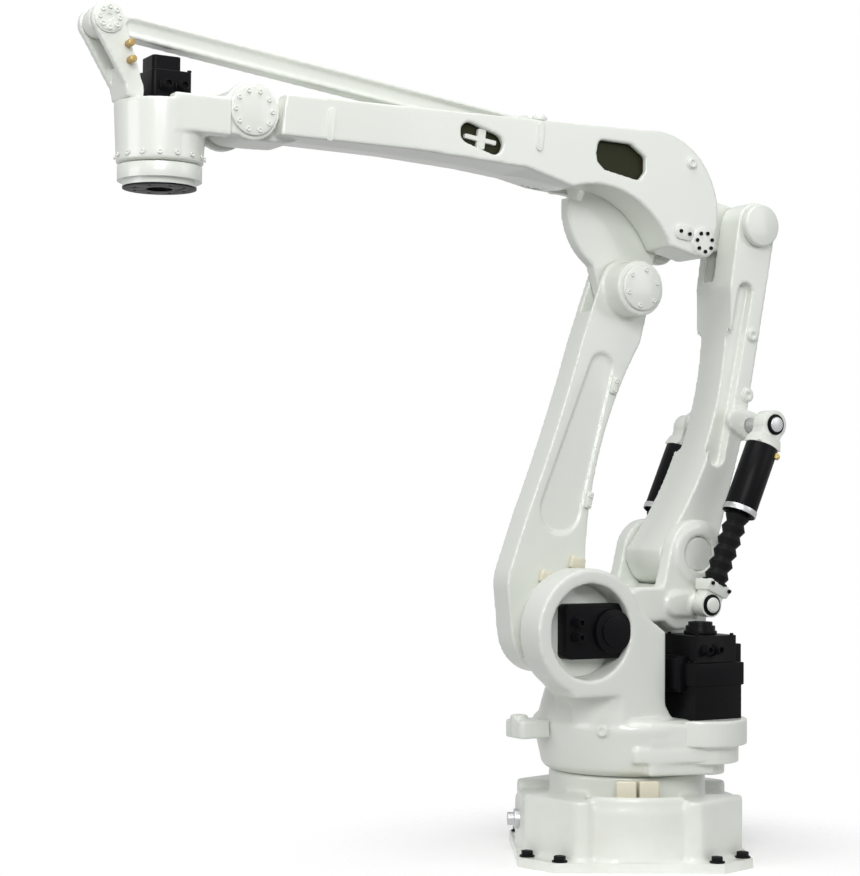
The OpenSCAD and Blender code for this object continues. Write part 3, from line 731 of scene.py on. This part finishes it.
tag_size, tag_rim, tag_rise, tag_at = (0.026, 0.018, 0.012), 0.004, 0.004, 0.105
tag_outward, tag_sideways = 0.75, 0.66

pin_end = turned("pin_end", [(0.026, 0.003), (0.022, 0.006)], 0.001, white_enamel, sides=36)
washer = turned("pin_washer", [(0.036, 0.003), (0.031, 0.007)], 0.001, motor_black, sides=36)
band = drum(band_radius, 0, band_wide, 48, "NOTHING")
wall = band.modifiers.new("band_wall", "SOLIDIFY")
wall.thickness, wall.offset = band_wall, -1.0
bpy.ops.object.modifier_apply(modifier="band_wall")
finish_piece(band, 0.0008, turned_steel)
yoke = box(yoke_size)
pick(yoke, lambda centre, normal: normal.z < -0.9)
bpy.ops.transform.resize(value=(yoke_taper, yoke_taper, 1.0))
step(yoke, yoke_rim, yoke_rise)
finish_piece(yoke, 0.003, white_enamel)
tag = box(tag_size)
step(tag, tag_rim, tag_rise)
finish_piece(tag, 0.001, tag_yellow)

for s, way in (("near", 1.0), ("far", -1.0)):
    tube, rod, outward = s + "_cylinder", s + "_bellows", across * way
    heart, sole = (pin + across * (way * balancer_y - pin.dot(across))
                   for pin in (joint_at[tube + "_pin"], joint_at[rod + "_pin"]))
    axis = (sole - heart).normalized()
    side = axis.cross(across)
    more = s == "near"
    edged(tube, tube, 0.004, white_enamel,
          [(heart + axis * top_clevis, axis)], s + "_top_clevis")
    edged(tube, tube, 0.002, motor_black,
          [(heart + axis * (top_clevis + split), -axis)], s + "_tube")
    edged(rod, rod, 0.004, white_enamel,
          [(sole - axis * foot_clevis, -axis)], s + "_foot_clevis")
    edged(rod, rod, 0.0035, bellows_rubber,
          [(sole - axis * (foot_clevis + split), axis)], s + "_rubber")
    copies(band, [stand(heart + axis * band_at, axis, across)], s + "_band", tube, more)
    foot_seat, top_seat, end_seat = (
        stand(pin + outward * reach, outward, upright)
        for pin, reach in ((sole, foot_washer_out), (heart, top_washer_out), (sole, pin_end_out)))
    copies(washer, [foot_seat], s + "_foot_washer", rod, True)
    copies(washer, [top_seat], s + "_top_washer", tube, more)
    copies(pin_end, [end_seat], s + "_foot_pin_end", rod, more)
    copies(yoke, [stand(sole - axis * foot_yoke_at, -axis, across)],
           s + "_foot_yoke", rod, True)
    copies(yoke, [stand(heart + axis * top_yoke_at, axis, across)],
           s + "_top_yoke", tube, more)
    yoke_face = sole - axis * yoke_screw_at + outward * yoke_screw_out
    copies(black_screw, [stand(yoke_face + side * k * yoke_screw_pitch, outward, axis) for k in (-1, 1)],
           s + "_yoke_screws", rod, keep=True)
    lean = (outward * tag_outward - side * tag_sideways).normalized()
    tag_spot = heart + axis * tag_at + lean * band_radius
    copies(tag, [stand(tag_spot, lean, -axis)], s + "_valve_tag", tube, more)

# Windows. The two openings of the upper arm's near wall are closed from inside by painted shade: dark
# plates that stand for the shade within the hollow arm, a sheet in the rear one and a well in the oval
# one, in front of which two white ribs of the casting cross.
# Painted shade: a near-black olive that stands for the shade inside the hollow arm behind its two openings.
window_shade_paint = enamel("window_shade_paint", (0.027, 0.029, 0.014), (0.04, 0.04, 0.03), 0.45, 0.12, 0.0)
wall_thick, rim_high = 0.024, 0.008
wall_out = near_face("upper_arm") - rim_high
wall_in = wall_out - wall_thick


def plate(name, size, corner, paint):
    """A flat plate with rounded corners, centred, standing on z = 0."""
    piece = box(size)
    piece.name = name
    bpy.ops.object.mode_set(mode="OBJECT")
    bpy.context.tool_settings.mesh_select_mode = (False, True, False)
    for edge in piece.data.edges:
        a, b = (piece.data.vertices[v].co for v in edge.vertices)
        edge.select = abs(a.x - b.x) + abs(a.y - b.y) < 1e-5
    for face in piece.data.polygons:
        face.select = False
    bpy.ops.object.mode_set(mode="EDIT")
    bpy.ops.mesh.bevel(offset=corner, segments=5)
    bpy.ops.mesh.select_all(action="SELECT")
    bpy.ops.transform.translate(value=(0, 0, size[2] / 2))
    return finish_piece(piece, min(0.0012, size[2] / 4), paint)


for name, size, corner, paint, (x, z), depth, slot in (
    ("rear_window_sheet", (0.244, 0.146, 0.005), 0.030, window_shade_paint, (0.133, 0.138), 0.0053, "motor_black"),
    ("oval_window_well", (0.196, 0.092, 0.004), 0.020, window_shade_paint, (0.689, 0.088), 0.0043, "motor_black"),
    ("oval_window_rib", (0.120, 0.015, 0.014), 0.004, white_enamel, (0.689, 0.086), 0.0002, "white_paint"),
    ("oval_window_post", (0.030, 0.066, 0.014), 0.006, white_enamel, (0.686, 0.088), 0.0004, "white_paint"),
):
    seat = stand(on_upper(x, z, wall_in - depth), across, over)
    copies(plate(name + "_master", size, corner, paint), [seat], name, "upper_arm")

# Bosses and plugs. Small cast forms on the upper arm's near wall, all in the white enamel: two upright
# ribs, a lifting boss on the top edge, a plug in the hood and a screwed pad by the tail boss. The near
# side of the turret's bowl has the same plug.
set_in, screw_out, screw_pitch, screw_tilt = 0.0008, 0.0065, 0.019, 0.1
pad_x, pad_z = -0.156, -0.062
boss_at = on_upper(0.462, 0.1985, 0.112)
hood_plug_at = on_upper(-0.160, 0.184, wall_out - set_in)
for name, size, corner, (x, z) in (
    ("fore_rib", (0.026, 0.104, 0.006), 0.012, (1.240, 0.012)),
    ("rear_rib", (0.026, 0.098, 0.006), 0.012, (0.468, 0.142)),
    ("tail_pad", (0.078, 0.050, 0.008), 0.022, (pad_x, pad_z)),
):
    seat = stand(on_upper(x, z, wall_out - set_in), across, over)
    copies(plate(name + "_master", size, corner, white_enamel), [seat], name, "upper_arm")
boss = turned("lifting_boss_master", [(0.026, 0.014), (0.020, 0.020)], 0.003, white_enamel,
              socket=(0.009, 0.010))
copies(boss, [stand(boss_at, over, along)], "lifting_boss", "upper_arm")
plug = turned("hood_plug_master", [(0.022, 0.004), (0.017, 0.012)], 0.002, white_enamel,
              socket=(0.008, 0.003))
copies(plug, [stand(hood_plug_at, across, over)], "hood_plug", "upper_arm", keep=True)
pad_screws = [stand(on_upper(pad_x + s, pad_z + screw_tilt * s, wall_out + screw_out), across, over)
              for s in (-screw_pitch, screw_pitch)]
copies(black_screw, pad_screws, "tail_pad_screws", "upper_arm")
bowl_radius, bowl_turn, bowl_high = 0.3252, 0.69, 0.452
bowl_out = arm_point(math.cos(bowl_turn), math.sin(bowl_turn), 0)
copies(plug, [stand(bowl_out * bowl_radius + upright * bowl_high, bowl_out, upright)],
       "bowl_plug", "turret")

# Wrist and link screws. Painted screws ring the wrist drum's lower rim and the two caps over the level
# rod's head pin, and hold the hose pads of the lower arm. The rear link has two turned pads.
drum_circle, drum_drop, drum_count = 0.1335, 0.152, 16
cap_face, cap_thick, cap_circle = 0.0682, 0.0066, 0.031
drum_turns = [math.tau * k / drum_count for k in range(drum_count)]
drum_ways = [arm_point(math.cos(t), math.sin(t), 0) for t in drum_turns]
rim_at = tool_at - upright * drum_drop
copies(painted_screw, [stand(rim_at + way * drum_circle, way, upright) for way in drum_ways],
       "wrist_drum_screws", "wrist", keep=True)
head_at = joint_at["rod_pin"] + (wrist_at - upper_pin)
head_cap = turned("head_cap_master", [(0.046, 0.004), (0.041, 0.007)], 0.001, white_enamel,
                  socket=(0.010, 0.003))
copies(head_cap, [stand(head_at + out * cap_face, out, upright) for out in (across, -across)],
       "rod_head_caps", "wrist")
head_seats = [stand(head_at + out * (cap_face + cap_thick), out, upright) for out in (across, -across)]
copies(painted_screw, [place for seat in head_seats for place in ring_of(seat, cap_circle, count=8)],
       "rod_head_screws", "wrist", keep=True)
link_long, pad_shares, pad_pitch = 1.2, (0.72, 0.38), 0.016
hose_back, hose_face = -0.037, 0.017
hose_seats = [stand(on_lower(hose_back, link_long * share + s, hose_face), across, up_link)
              for share in pad_shares for s in (-pad_pitch, pad_pitch)]
copies(painted_screw, hose_seats, "hose_pad_screws", "lower_arm")
link_pad = turned("link_pad_master", [(0.026, 0.006), (0.021, 0.011)], 0.001, white_enamel,
                  socket=(0.008, 0.004), sides=28)
rear_foot, link_face = joint_at["rear_link_pivot"], 0.099
pad_seats = [stand(on_lower(x, z, link_face, rear_foot), across, up_link)
             for x, z in ((-0.076, 0.818), (-0.110, 0.606))]
copies(link_pad, pad_seats, "rear_link_pads", "rear_link")

# Stops. Milled blocks in cream paint, two on the base and two low on the lower arm, with broken edges.
# They end the swing of the turret and the lean of the arm.
cream_paint = enamel("cream_paint", (0.76, 0.72, 0.57), (0.5, 0.46, 0.36), 0.4)
for node, body in (("base_stops", "base"), ("arm_stops", "lower_arm")):
    edged(node, body, 0.004, cream_paint)
